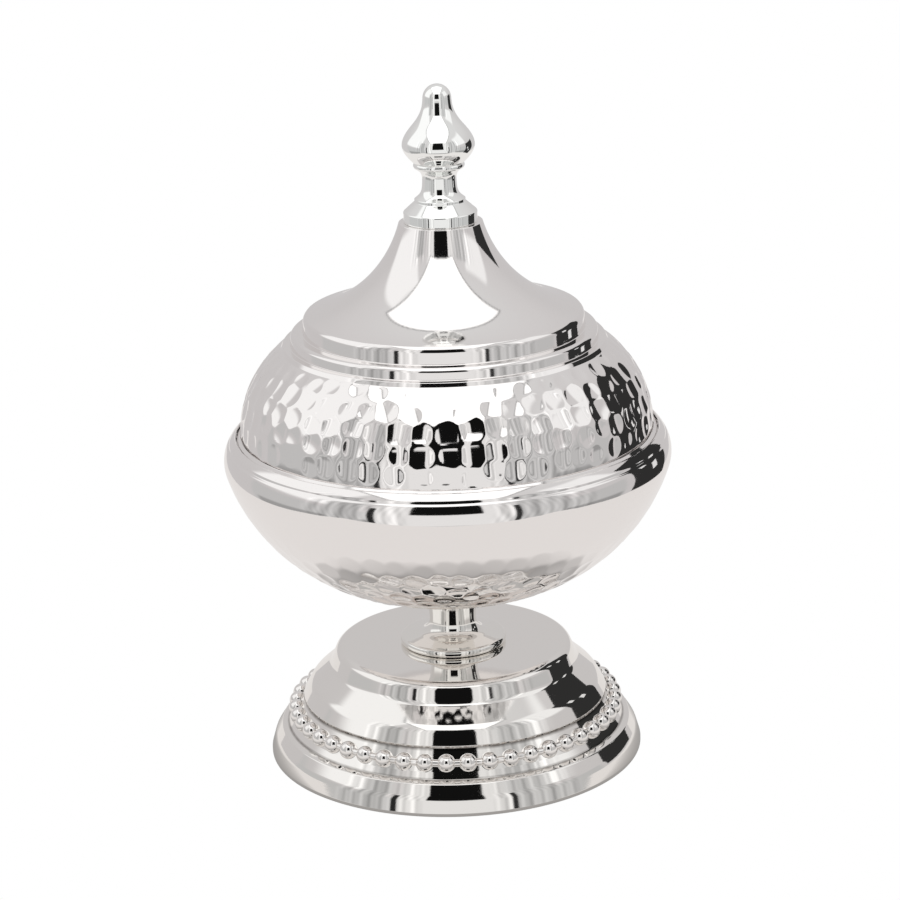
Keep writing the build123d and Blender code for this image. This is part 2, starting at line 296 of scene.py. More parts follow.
@dataclass(frozen=True)
class HammerMarks:
    """Rows of round-faced hammer marks that meet in ridges, set out by a fixed seed."""

    rows: tuple[HammerRow, ...]
    width: float
    seed: int
    jitter: float = 0.75
    strengths: tuple[float, float] = (0.82, 1.12)
    hollows: tuple[float, float] = (0.8, 1.25)
    fewest: int = 6
    reach_along: float = 1.4
    reach_across: float = 1.5

    def sunk(self, along: np.ndarray, angle: np.ndarray, radius: np.ndarray) -> np.ndarray:
        """How far each point of the surface has been driven in.

        Args:
            along: Length of each point along the hammered band, in millimetres.
            angle: Its angle about the axis.
            radius: Its radius, in millimetres.

        Returns:
            The depth of each point below the plain surface, in millimetres.
        """
        rng = np.random.default_rng(self.seed)
        depth = np.zeros_like(along)
        for k, row in enumerate(self.rows):
            band = np.abs(along - row.along) < self.reach_along * self.width
            if not band.any():
                continue
            near_s, near_a, near_r = along[band], angle[band], radius[band]
            level = near_r[np.argmin(np.abs(near_s - row.along))]
            count = max(self.fewest, round(TAU * level / self.width))
            sunk = depth[band]
            for j in range(count):
                shift_s, shift_a = rng.normal(0, self.jitter, 2)
                middle_s = row.along + shift_s
                middle_a = TAU * (j + 0.5 * (k % 2)) / count + shift_a / level
                strength = row.depth * rng.uniform(*self.strengths)
                hollow = row.hollow * rng.uniform(*self.hollows)
                across = ((near_a - middle_a + math.pi) % TAU - math.pi) * near_r
                close = np.abs(across) < self.reach_across * self.width
                d2 = across[close] ** 2 + (near_s[close] - middle_s) ** 2
                sunk[close] = np.maximum(sunk[close], strength - hollow * d2)
            depth[band] = sunk
        return depth


# Turned meshes


@dataclass(frozen=True)
class Turning:
    """How a half section is turned into a mesh, with more segments where it is hammered."""

    segments: int = 240
    hammered_segments: int = 720
    marks: Optional[HammerMarks] = None

    def mesh(self, name: str, outline: Outline, closed: bool = True) -> bpy.types.Mesh:
        """Turn an outline about the axis.

        Args:
            name: The mesh's name.
            outline: The half section.
            closed: Whether its last point joins its first.

        Returns:
            A closed mesh in metres whose faces point outwards.
        """
        path = np.array(outline.points)
        along = np.array(outline.marked)
        if closed and np.linalg.norm(path[0] - path[-1]) < SAME_END:
            path, along = path[:-1], along[:-1]
        ahead = np.roll(path, -1, axis=0)
        if float(np.sum(path[:, 0] * ahead[:, 1] - ahead[:, 0] * path[:, 1])) < 0:
            path, along = path[::-1], along[::-1]
        path, along = self._edged(path, along)
        counts = np.where(np.isnan(along), self.segments, self.hammered_segments)
        on_axis = path[:, 0] < ON_AXIS
        counts[on_axis] = 1
        starts = np.concatenate([[0], np.cumsum(counts)])
        row_of = np.repeat(np.arange(len(path)), counts)
        step = np.arange(starts[-1]) - starts[:-1][row_of]
        angle = TAU * step / counts[row_of]
        points = path[row_of]
        if self.marks is not None:
            points = self._hammered(path, along, row_of, angle, points)
        vertices = np.stack(
            [points[:, 0] * np.cos(angle), points[:, 0] * np.sin(angle), points[:, 1]], axis=1
        )
        faces: list[tuple[int, ...]] = []
        for i in range(len(path) if closed else len(path) - 1):
            j = (i + 1) % len(path)
            if not (on_axis[i] and on_axis[j]):
                faces += self._strip(int(starts[i]), int(counts[i]), int(starts[j]), int(counts[j]))
        mesh = bpy.data.meshes.new(name)
        mesh.from_pydata((vertices * MM).tolist(), [], faces)
        mesh.polygons.foreach_set("use_smooth", [True] * len(mesh.polygons))
        mesh.update()
        return mesh

    @staticmethod
    def _edged(path: np.ndarray, along: np.ndarray) -> tuple[np.ndarray, np.ndarray]:
        """Add rows close to both sides of each sharp corner, so that flat faces shade flat.

        Args:
            path: The outline's points.
            along: Their lengths along a hammered band, nan where they are plain.

        Returns:
            The points and their lengths, with the new ones.
        """
        points: list[np.ndarray] = []
        marks: list[float] = []
        for i, here in enumerate(path):
            back, ahead = path[i - 1] - here, path[(i + 1) % len(path)] - here
            before, after = float(np.linalg.norm(back)), float(np.linalg.norm(ahead))
            straight = -float(back @ ahead) / (before * after)
            sharp = here[0] > ON_AXIS and straight < math.cos(math.radians(SHARP_DEG))
            if sharp and before > Outline.SUPPORT_ROOM:
                points.append(here + back / before * Outline.SUPPORT)
                marks.append(math.nan)
            points.append(here)
            marks.append(float(along[i]))
            if sharp and after > Outline.SUPPORT_ROOM:
                points.append(here + ahead / after * Outline.SUPPORT)
                marks.append(math.nan)
        return np.array(points), np.array(marks)

    def _hammered(
        self,
        path: np.ndarray,
        along: np.ndarray,
        row_of: np.ndarray,
        angle: np.ndarray,
        points: np.ndarray,
    ) -> np.ndarray:
        """Drive the hammered rows in along their normals.

        Args:
            path: The half section's points, one for each row.
            along: Their lengths along the hammered band.
            row_of: The row of each vertex.
            angle: The angle of each vertex about the axis.
            points: The radius and height of each vertex.

        Returns:
            The radius and height of each vertex, with the marks.
        """
        tangent = np.roll(path, -1, axis=0) - np.roll(path, 1, axis=0)
        tangent /= np.linalg.norm(tangent, axis=1, keepdims=True)
        inwards = np.stack([-tangent[:, 1], tangent[:, 0]], axis=1)
        hit = ~np.isnan(along[row_of])
        rows = row_of[hit]
        depth = self.marks.sunk(along[rows], angle[hit], path[rows, 0])
        moved = points.copy()
        moved[hit] += inwards[rows] * depth[:, None]
        return moved

    @staticmethod
    def _strip(low: int, low_count: int, high: int, high_count: int) -> list[tuple[int, ...]]:
        """The faces between two rings of vertices, whose counts may differ by a whole factor.

        Args:
            low: First vertex of the lower ring.
            low_count: How many vertices it has.
            high: First vertex of the upper ring.
            high_count: How many vertices it has.

        Returns:
            Quads between equal rings, triangles between others.
        """
        if low_count == high_count:
            return [
                (low + k, low + (k + 1) % low_count, high + (k + 1) % low_count, high + k)
                for k in range(low_count)
            ]
        if high_count == 1:
            return [(low + k, low + (k + 1) % low_count, high) for k in range(low_count)]
        if low_count == 1:
            return [(low, high + (k + 1) % high_count, high + k) for k in range(high_count)]
        faces: list[tuple[int, ...]] = []
        fine_is_low = low_count > high_count
        fine, fine_count = (low, low_count) if fine_is_low else (high, high_count)
        coarse, coarse_count = (high, high_count) if fine_is_low else (low, low_count)
        ratio = fine_count // coarse_count
        for k in range(coarse_count):
            here, there = coarse + k, coarse + (k + 1) % coarse_count
            edge = [fine + (ratio * k + m) % fine_count for m in range(ratio + 1)]
            fan = [(edge[m], edge[m + 1], here if m < ratio // 2 else there) for m in range(ratio)]
            fan.append((edge[ratio // 2], there, here))
            faces += fan if fine_is_low else [tuple(reversed(face)) for face in fan]
        return faces


def placed(name: str, data: bpy.types.ID) -> bpy.types.Object:
    """A new object in the scene.

    Args:
        name: The object's name.
        data: Its mesh or camera.

    Returns:
        The object, at the origin.
    """
    obj = bpy.data.objects.new(name, data)
    bpy.context.scene.collection.objects.link(obj)
    return obj


def piece(name: str, mesh: bpy.types.Mesh, finish: "Finish") -> bpy.types.Object:
    """An object at the origin with one finish.

    Args:
        name: The piece's name.
        mesh: Its mesh, in the frame's own metres.
        finish: The finish of all its faces.

    Returns:
        The new object.
    """
    obj = placed(name, mesh)
    if not mesh.materials:
        mesh.materials.append(finish.material())
    return obj


def stand_in(obj: bpy.types.Object, body: str, node: str, slot: str) -> None:
    """Let a piece ride a body in place of a CAD node.

    Args:
        obj: The finished piece.
        body: The body it rides.
        node: The CAD node that it replaces.
        slot: The record's material slot.
    """
    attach(obj, body)
    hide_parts(node)
    LOG.info("%s: %d faces, rides %s, finish %s", obj.name, len(obj.data.polygons), body, slot)


# Shaders


class Graph:
    """A node tree that is wired by short calls."""

    def __init__(self, tree: bpy.types.NodeTree) -> None:
        """Take over an empty tree."""
        self.tree = tree

    def node(self, kind: str, inputs: Optional[dict] = None, **settings: object) -> bpy.types.Node:
        """Add a node.

        Args:
            kind: Blender's name for the node.
            inputs: Values or sockets for its inputs, by name or number.
            **settings: Properties of the node.

        Returns:
            The node.
        """
        node = self.tree.nodes.new(kind)
        for key, value in settings.items():
            setattr(node, key, value)
        for key, value in (inputs or {}).items():
            if isinstance(value, bpy.types.NodeSocket):
                self.tree.links.new(value, node.inputs[key])
            else:
                node.inputs[key].default_value = value
        return node

    def out(
        self, kind: str, inputs: Optional[dict] = None, output: object = 0, **settings: object
    ) -> bpy.types.NodeSocket:
        """Add a node, for one of its outputs.

        Args:
            kind: Blender's name for the node.
            inputs: Values or sockets for its inputs, by name or number.
            output: The output's name or number.
            **settings: Properties of the node.

        Returns:
            The output.
        """
        return self.node(kind, inputs, **settings).outputs[output]

    def math(self, operation: str, a: object, b: object = 0.0) -> bpy.types.NodeSocket:
        """The result of a math node on one or two values or sockets."""
        return self.out("ShaderNodeMath", {0: a, 1: b}, operation=operation)

    def length(self, a: bpy.types.NodeSocket, b: bpy.types.NodeSocket) -> bpy.types.NodeSocket:
        """The length of a flat vector.

        Args:
            a: Its first part.
            b: Its second part.

        Returns:
            The length.
        """
        return self.math(
            "SQRT", self.math("ADD", self.math("POWER", a, 2.0), self.math("POWER", b, 2.0))
        )

    def noise(self, place: object, scale: object, detail: float) -> bpy.types.NodeSocket:
        """Noise at a place, from 0 to 1.

        Args:
            place: The socket that holds the place.
            scale: How fine the noise is, as a value or a socket.
            detail: How many finer layers it has.

        Returns:
            The noise.
        """
        given = {"Vector": place, "Scale": scale, "Detail": detail}
        return self.out("ShaderNodeTexNoise", given, "Fac")

    def surface(self, shader: bpy.types.NodeSocket) -> None:
        """Make a shader the surface of the material."""
        self.node("ShaderNodeOutputMaterial", {"Surface": shader})


def empty_material(name: str) -> tuple[bpy.types.Material, Graph]:
    """A new material without nodes.

    Args:
        name: The material's name.

    Returns:
        The material and its graph.
    """
    made = bpy.data.materials.new(name)
    made.use_nodes = True
    made.node_tree.nodes.clear()
    return made, Graph(made.node_tree)


class Effects:
    """The shader node groups that the finishes share, each built once."""

    @staticmethod
    def _group(
        name: str, inputs: Sequence[tuple[str, float]], outputs: Sequence[str]
    ) -> tuple[Graph, bpy.types.bpy_prop_collection, bpy.types.bpy_prop_collection]:
        """A new group with named sockets.

        Args:
            name: The group's name.
            inputs: Name and usual value of each input.
            outputs: Name of each output.

        Returns:
            The group's graph, its given values and the sockets for its results.
        """
        tree = bpy.data.node_groups.new(name, "ShaderNodeTree")
        for label, value in inputs:
            socket = tree.interface.new_socket(label, in_out="INPUT", socket_type="NodeSocketFloat")
            socket.default_value = value
        for label in outputs:
            tree.interface.new_socket(label, in_out="OUTPUT", socket_type="NodeSocketFloat")
        graph = Graph(tree)
        return graph, graph.node("NodeGroupInput").outputs, graph.node("NodeGroupOutput").inputs

    @classmethod
    def polish(cls) -> bpy.types.NodeTree:
        """Clouds of handling haze and turned buffing lines: Roughness and Height.

        Returns:
            The group, made once.
        """
        known = bpy.data.node_groups.get("buffed_polish")
        if known is not None:
            return known
        graph, given, result = cls._group(
            "buffed_polish",
            [("Gloss", 0.03), ("Haze", 0.03), ("Cloud Scale", 30.0), ("Line Scale", 5000.0)],
            ["Roughness", "Height"],
        )
        place = graph.out("ShaderNodeTexCoord", output="Object")
        clouds = graph.noise(place, given["Cloud Scale"], detail=4.0)
        cloud = graph.out("ShaderNodeMapRange", {0: clouds, 1: 0.42, 2: 0.7, 3: 0.0, 4: 1.0})
        rough = graph.math("ADD", given["Gloss"], graph.math("MULTIPLY", cloud, given["Haze"]))
        x, y, z = graph.node("ShaderNodeSeparateXYZ", {0: place}).outputs
        turned = graph.out("ShaderNodeCombineXYZ", {0: graph.length(x, y), 1: z})
        lines = graph.math("MULTIPLY", graph.noise(turned, given["Line Scale"], detail=2.0), 0.6)
        swirl = graph.math("MULTIPLY", graph.noise(place, 2600.0, detail=1.0), 0.4)
        graph.tree.links.new(rough, result["Roughness"])
        graph.tree.links.new(graph.math("ADD", lines, swirl), result["Height"])
        return graph.tree

    @classmethod
    def ring_stain(cls) -> bpy.types.NodeTree:
        """Polish left in a turned groove: a Mask round one height and radius.

        Returns:
            The group, made once.
        """
        known = bpy.data.node_groups.get("groove_stain")
        if known is not None:
            return known
        graph, given, result = cls._group(
            "groove_stain", [("Radius", 0.05), ("Height", 0.05), ("Width", 0.0006)], ["Mask"]
        )
        place = graph.out("ShaderNodeTexCoord", output="Object")
        x, y, z = graph.node("ShaderNodeSeparateXYZ", {0: place}).outputs
        off_r = graph.math("SUBTRACT", graph.length(x, y), given["Radius"])
        off_z = graph.math("SUBTRACT", z, given["Height"])
        away = graph.math("DIVIDE", graph.length(off_r, off_z), given["Width"])
        near = graph.math("MAXIMUM", graph.math("SUBTRACT", 1.0, away), 0.0)
        patchy = graph.math("ADD", graph.noise(place, 220.0, detail=3.0), 0.35)
        mask = graph.math("MINIMUM", graph.math("MULTIPLY", near, patchy), 1.0)
        graph.tree.links.new(mask, result["Mask"])
        return graph.tree


class Gloss(Enum):
    """How smooth a finish is, as the least roughness of its surface."""

    MIRROR = 0.02
    POLISHED = 0.035
    TURNED = 0.22
    DULL = 0.4


@dataclass(frozen=True)
class Stain:
    """A thin ring of old polish in a turned groove, in millimetres."""

    r: float
    z: float
    width: float = 0.9


@dataclass(frozen=True)
class Finish:
    """A metal finish: its colour, gloss, haze, buffing lines and the grooves that hold polish."""

    name: str
    colour: tuple[float, float, float]
    gloss: Gloss = Gloss.POLISHED
    haze: float = 0.03
    bump: float = 0.02
    cloud_scale: float = 30.0
    stains: tuple[Stain, ...] = ()
    stain_colour: tuple[float, float, float] = (0.16, 0.14, 0.125)

    def material(self) -> bpy.types.Material:
        """The finish's material, made once and shared by all that wear it.

        Returns:
            The material.
        """
        known = bpy.data.materials.get(self.name)
        if known is not None:
            return known
        made, graph = empty_material(self.name)
        wear = {"Gloss": self.gloss.value, "Haze": self.haze, "Cloud Scale": self.cloud_scale}
        polish = graph.node("ShaderNodeGroup", wear, node_tree=Effects.polish())
        bump = graph.node(
            "ShaderNodeBump",
            {"Height": polish.outputs["Height"], "Strength": self.bump, "Distance": 0.0002},
        )
        shader = graph.node(
            "ShaderNodeBsdfPrincipled",
            {
                "Base Color": (*self.colour, 1.0),
                "Metallic": 1.0,
                "Roughness": polish.outputs["Roughness"],
                "Normal": bump.outputs["Normal"],
            },
        )
        if self.stains:
            self._stain(graph, shader)
        graph.surface(shader.outputs["BSDF"])
        return made

    def _stain(self, graph: Graph, shader: bpy.types.Node) -> None:
        """Darken the shader's colour in the grooves that hold polish.

        Args:
            graph: The material's graph.
            shader: The metal's shader.
        """
        total: object = 0.0
        for stain in self.stains:
            place = {"Radius": stain.r * MM, "Height": stain.z * MM, "Width": stain.width * MM}
            ring = graph.node("ShaderNodeGroup", place, node_tree=Effects.ring_stain())
            total = graph.math("MAXIMUM", ring.outputs["Mask"], total)
        blend = {"Factor": total, 6: (*self.colour, 1.0), 7: (*self.stain_colour, 1.0)}
        mix = graph.node("ShaderNodeMix", blend, data_type="RGBA")
        graph.tree.links.new(mix.outputs[2], shader.inputs["Base Color"])


# The dish


@dataclass
class Foot:
    """The spun foot and the beaded wire soldered round it."""

    height: float = 39.6
    radius: float = 68.15
    wall: float = 1.0
    bolt_hole: float = 3.2
    top_radius: float = 42.4
    top_draft: float = 2.8
    top_edge: float = 3.6
    top_band: float = 6.7
    step_round: float = 4.0
    shoulder_radius: float = 55.6
    shoulder_height: float = 21.35
    shoulder_draft: float = 3.2
    shoulder_band: float = 5.25
    shoulder_round: float = 9.0
    band_radius: float = 63.9
    band_height: float = 10.5
    belly_radius: float = 66.7
    belly_height: float = 6.2
    belly_round: float = 6.0
    crease: float = 0.3
    soft_edge: float = 0.8
    foot_edge: float = 0.25
    edge_height: float = 1.2
    bead_radius: float = 3.25
    bead_count: int = 48
    bead_ring_radius: float = 58.3
    bead_ring_height: float = 16.1
    bead_wire_radius: float = 1.3
    seat_depth: float = 0.1
    seat_deg: float = 33.0
    seat_rise: float = 4.41
    seat_fall: float = 2.64

    def outline(self) -> Outline:
        """The foot's sheet: its outside from the bolt hole down, and back inside.

        Returns:
            The closed half section. The inside keeps about one wall from the outside.
        """
        normal = math.radians(self.seat_deg)
        lean = math.tan(normal)
        seat_r = self.bead_ring_radius - self.seat_depth * math.cos(normal)
        seat_z = self.bead_ring_height - self.seat_depth * math.sin(normal)
        step_r, step_z = self.top_radius + self.top_draft, self.height - self.top_band
        outside = [
            Corner(self.top_radius, self.height, self.top_edge),
            Corner(step_r, step_z, self.step_round),
            Corner(
                self.shoulder_radius - self.shoulder_draft,
                self.shoulder_height + self.shoulder_band,
                self.shoulder_round,
            ),
            Corner(self.shoulder_radius, self.shoulder_height, self.crease),
            Corner(seat_r - self.seat_rise * lean, seat_z + self.seat_rise, self.crease),
            Corner(seat_r + self.seat_fall * lean, seat_z - self.seat_fall, self.soft_edge),
            Corner(self.band_radius - 2.3, self.band_height + 0.6, self.soft_edge),
            Corner(self.band_radius, self.band_height, self.soft_edge),
            Corner(self.belly_radius, self.belly_height, self.belly_round),
            Corner(self.radius, self.edge_height, self.crease),
            Corner(self.radius, 0.0, self.foot_edge),
        ]
        inside = [
            Corner(self.radius - self.wall, 0.0, self.foot_edge),
            Corner(self.radius - self.wall, self.edge_height + 0.3, self.crease),
            Corner(self.belly_radius - 0.95, self.belly_height - 0.2, self.belly_round - self.wall),
            Corner(self.band_radius - 0.5, self.band_height - 1.0, self.soft_edge),
            Corner(self.band_radius - 3.1, self.band_height - 0.4, self.soft_edge),
            Corner(seat_r + 2.44 * lean - 1.2, seat_z - 3.44, self.soft_edge),
            Corner(seat_r - self.seat_rise * lean - 1.1, seat_z + 3.76, self.crease),
            Corner(self.shoulder_radius - 1.0, self.shoulder_height - 0.2, self.crease),
            Corner(self.shoulder_radius - 4.05, self.shoulder_height + 4.55, 7.0),
            Corner(step_r - 0.9, step_z - 0.7, self.step_round + 0.6),
            Corner(self.top_radius - 0.7, self.height - self.wall, self.top_edge - self.wall),
            Corner(self.bolt_hole, self.height - self.wall),
            Corner(self.bolt_hole, self.height),
        ]
        return Outline(self.bolt_hole, self.height).corners(outside + inside)

    def pearls(self, finish: Finish) -> bpy.types.Mesh:
        """The beaded wire, set out by a Geometry Nodes tree.

        Args:
            finish: The finish of the beads.

        Returns:
            One plain mesh of all beads and the wire between them.
        """
        tree = bpy.data.node_groups.new("beaded_wire", "GeometryNodeTree")
        graph = Graph(tree)
        sizes = {
            "Bead Count": (self.bead_count, "NodeSocketInt"),
            "Bead Radius": (self.bead_radius * MM, "NodeSocketFloat"),
            "Ring Radius": (self.bead_ring_radius * MM, "NodeSocketFloat"),
            "Ring Height": (self.bead_ring_height * MM, "NodeSocketFloat"),
            "Wire Radius": (self.bead_wire_radius * MM, "NodeSocketFloat"),
            "Finish": (finish.material(), "NodeSocketMaterial"),
        }
        tree.interface.new_socket("Geometry", in_out="OUTPUT", socket_type="NodeSocketGeometry")
        keys = {
            label: tree.interface.new_socket(label, in_out="INPUT", socket_type=kind).identifier
            for label, (_, kind) in sizes.items()
        }
        given = graph.node("NodeGroupInput").outputs
        ring = graph.out(
            "GeometryNodeMeshCircle",
            {"Vertices": given["Bead Count"], "Radius": given["Ring Radius"]},
            "Mesh",
        )
        first = math.radians(-90.0) + math.pi / self.bead_count
        turn = {"Geometry": ring, "Rotation": (0.0, 0.0, first)}
        points = graph.out("GeometryNodeTransform", turn, "Geometry")
        ball = {"Segments": 40, "Rings": 24, "Radius": given["Bead Radius"]}
        bead = graph.out("GeometryNodeMeshUVSphere", ball, "Mesh")
        uneven = {2: 0.985, 3: 1.015, "Seed": 7}
        size = graph.out("FunctionNodeRandomValue", uneven, 1, data_type="FLOAT")
        copies = {"Points": points, "Instance": bead, "Scale": size}
        beads = graph.out("GeometryNodeInstanceOnPoints", copies, "Instances")
        circle, section = (
            graph.out(
                "GeometryNodeCurvePrimitiveCircle",
                {"Resolution": resolution, "Radius": given[label]},
                "Curve",
            )
            for resolution, label in ((240, "Ring Radius"), (20, "Wire Radius"))
        )
        sweep = {"Curve": circle, "Profile Curve": section}
        wire = graph.out("GeometryNodeCurveToMesh", sweep, "Mesh")
        joined = graph.node("GeometryNodeJoinGeometry")
        tree.links.new(beads, joined.inputs[0])
        tree.links.new(wire, joined.inputs[0])
        lift = graph.out("ShaderNodeCombineXYZ", {2: given["Ring Height"]})
        rise = {"Geometry": joined.outputs[0], "Translation": lift}
        raised = graph.out("GeometryNodeTransform", rise, "Geometry")
        real = graph.out("GeometryNodeRealizeInstances", {0: raised})
        smooth = graph.out("GeometryNodeSetShadeSmooth", {0: real})
        dress = {"Geometry": smooth, "Material": given["Finish"]}
        dressed = graph.out("GeometryNodeSetMaterial", dress)
        graph.node("NodeGroupOutput", {0: dressed})
        carrier = placed("pearl_seed", bpy.data.meshes.new("pearl_seed"))
        modifier = carrier.modifiers.new("beaded_wire", "NODES")
        modifier.node_group = tree
        for label, (value, _) in sizes.items():
            modifier[keys[label]] = value
        depsgraph = bpy.context.evaluated_depsgraph_get()
        mesh = bpy.data.meshes.new_from_object(carrier.evaluated_get(depsgraph))
        carrier.modifiers.remove(modifier)
        bpy.data.objects.remove(carrier)
        mesh.name = "pearl_wire"
        return mesh

    def dress(self, plate: Finish, bead_plate: Finish) -> None:
        """Build both pieces and set them on the dish's body.

        Args:
            plate: The foot's finish.
            bead_plate: The beads' finish.
        """
        shell = Turning(segments=480).mesh("spun_foot", self.outline())
        stand_in(piece("spun_foot", shell, plate), "dish", "foot_shell", "foot_plate")
        wire = piece("pearl_wire", self.pearls(bead_plate), bead_plate)
        stand_in(wire, "dish", "pearl_band", "bead_plate")


@dataclass
class Stem:
    """The cast spool between the foot and the bowl."""

    foot_height: float = 39.6
    height: float = 22.45
    waist_radius: float = 8.5
    waist_height: float = 9.0
    top_radius: float = 12.5
    disc_radius: float = 19.3
    disc_thickness: float = 2.9
    throat_round: float = 5.2
    bend_deg: float = 82.0
    disc_edge: float = 1.3
    disc_foot_edge: float = 1.35
    bolt_hole: float = 3.2

    def outline(self) -> Outline:
        """The spool's half section, from under the bowl down to the foot and up the bore.

        Returns:
            The closed half section.
        """
        top = self.foot_height + self.height
        waist = self.foot_height + self.waist_height
        rise, flare = top - waist, self.top_radius - self.waist_radius
        bend = math.radians(self.bend_deg)
        bend_r = self.waist_radius + self.throat_round * (1 - math.cos(bend))
        bend_z = waist - self.throat_round * math.sin(bend)
        outline = Outline(self.bolt_hole, top).line(self.top_radius, top)
        outline.bow(self.waist_radius, waist, (rise**2 + flare**2) / (2 * flare), step=0.5)
        outline.bow(bend_r, bend_z, self.throat_round, step=0.35)
        return outline.corners([
            Corner(self.disc_radius, self.foot_height + self.disc_thickness, self.disc_edge),
            Corner(self.disc_radius, self.foot_height, self.disc_foot_edge),
            Corner(self.bolt_hole, self.foot_height),
            Corner(self.bolt_hole, top),
        ])

    def dress(self, plate: Finish) -> None:
        """Build the spool and set it on the dish's body."""
        mesh = Turning(segments=300).mesh("spool_stem", self.outline())
        stand_in(piece("spool_stem", mesh, plate), "dish", "stem", "stem_plate")


@dataclass
class Bowl:
    """The spun bowl: hammered below, smooth towards its broad rolled rim."""

    foot_height: float = 39.6
    stem_height: float = 22.45
    round: float = 66.7
    wall: float = 1.2
    rim_radius: float = 80.2
    rim_round: float = 12.0
    tangent_deg: float = 17.5
    mouth_inset: float = 4.6
    ledge_drop: float = 2.8
    ledge_width: float = 4.0
    ledge_lip: float = 2.4
    mouth_trim_deg: float = 1.5
    mouth_edge: float = 0.25
    ledge_edge: float = 0.4
    lip_edge: float = 0.2
    bolt_hole: float = 3.2
    hammered_from_deg: float = -72.0
    hammered_to_deg: float = -22.0
    groove_deg: float = 31.5
    groove_depth: float = 0.28
    groove_width: float = 0.42
    first_row: float = 25.0
    row_step: float = 7.0
    row_count: int = 8
    fading_rows: int = 4
    mark_depth: float = 0.5
    mark_hollow: float = 0.028
    faintest: float = 0.12

    def outline(self) -> Outline:
        """The bowl's sheet, outside from the bolt hole up, over the rim and back inside.

        Returns:
            The closed half section.
        """
        z = self.foot_height + self.stem_height
        tangent = math.radians(self.tangent_deg)
        rim_r = self.rim_radius - self.rim_round
        rim_z = z + self.round - (self.round - self.rim_round) * math.sin(tangent)
        base_r = rim_r - (self.round - self.rim_round) * math.cos(tangent)
        base = (base_r, z + self.round)
        mouth = self.rim_radius - self.mouth_inset
        end = math.degrees(math.acos((mouth - rim_r) / self.rim_round))
        mouth_z = rim_z + self.rim_round * math.sin(math.radians(end))
        ledge = mouth_z - self.ledge_drop
        lip = mouth - self.ledge_width
        back = mouth + self.wall
        inner = self.rim_round - self.wall
        inner_end = math.degrees(math.acos((back - rim_r) / inner))
        low, high = self.hammered_from_deg, self.hammered_to_deg
        outline = Outline(self.bolt_hole, z).line(base_r, z)
        outline.arc(base, self.round, -90, low, step=1.6)
        marks_from = self.round * math.radians(low + 90)
        outline.arc(base, self.round, low, high, step=0.86, marks_from=marks_from)
        outline.arc(base, self.round, high, -self.tangent_deg, step=0.8)
        trimmed = end - self.mouth_trim_deg
        outline.arc((rim_r, rim_z), self.rim_round, -self.tangent_deg, trimmed, step=0.38)
        groove = math.radians(self.groove_deg)
        groove_r = rim_r + self.rim_round * math.cos(groove)
        groove_z = rim_z + self.rim_round * math.sin(groove)
        outline.groove(groove_r, groove_z, self.groove_depth, self.groove_width)
        outline.corners([
            Corner(mouth, mouth_z, self.mouth_edge),
            Corner(mouth, ledge, 0.0),
            Corner(lip, ledge, self.ledge_edge),
            Corner(lip, ledge - self.ledge_lip, self.lip_edge),
            Corner(lip + self.wall, ledge - self.ledge_lip, 0.0),
            Corner(lip + self.wall, ledge - self.wall, 0.0),
            Corner(back, ledge - self.wall, 0.0),
            Corner(back, rim_z + inner * math.sin(math.radians(inner_end))),
        ])
        outline.arc((rim_r, rim_z), inner, inner_end, -self.tangent_deg, step=0.9)
        outline.arc(base, self.round - self.wall, -self.tangent_deg, -90, step=2.2)
        return outline.line(self.bolt_hole, z + self.wall).line(self.bolt_hole, z)

    def marks(self) -> HammerMarks:
        """Hammer marks that fade from the bowl's bottom towards its rim.

        Returns:
            The marks, with lengths from the edge of the flat bottom.
        """
        rows = []
        for k in range(self.row_count):
            fade = min(1.0, max(self.faintest, (self.row_count - 1 - k) / self.fading_rows))
            along = self.first_row + self.row_step * k
            rows.append(HammerRow(along, self.mark_depth * fade, self.mark_hollow * fade))
        return HammerMarks(tuple(rows), width=8.2, seed=31)

    def dress(self, plate: Finish) -> None:
        """Build the bowl and set it on the dish's body."""
        mesh = Turning(marks=self.marks()).mesh("hammered_bowl", self.outline())
        stand_in(piece("hammered_bowl", mesh, plate), "dish", "bowl_shell", "bowl_plate")


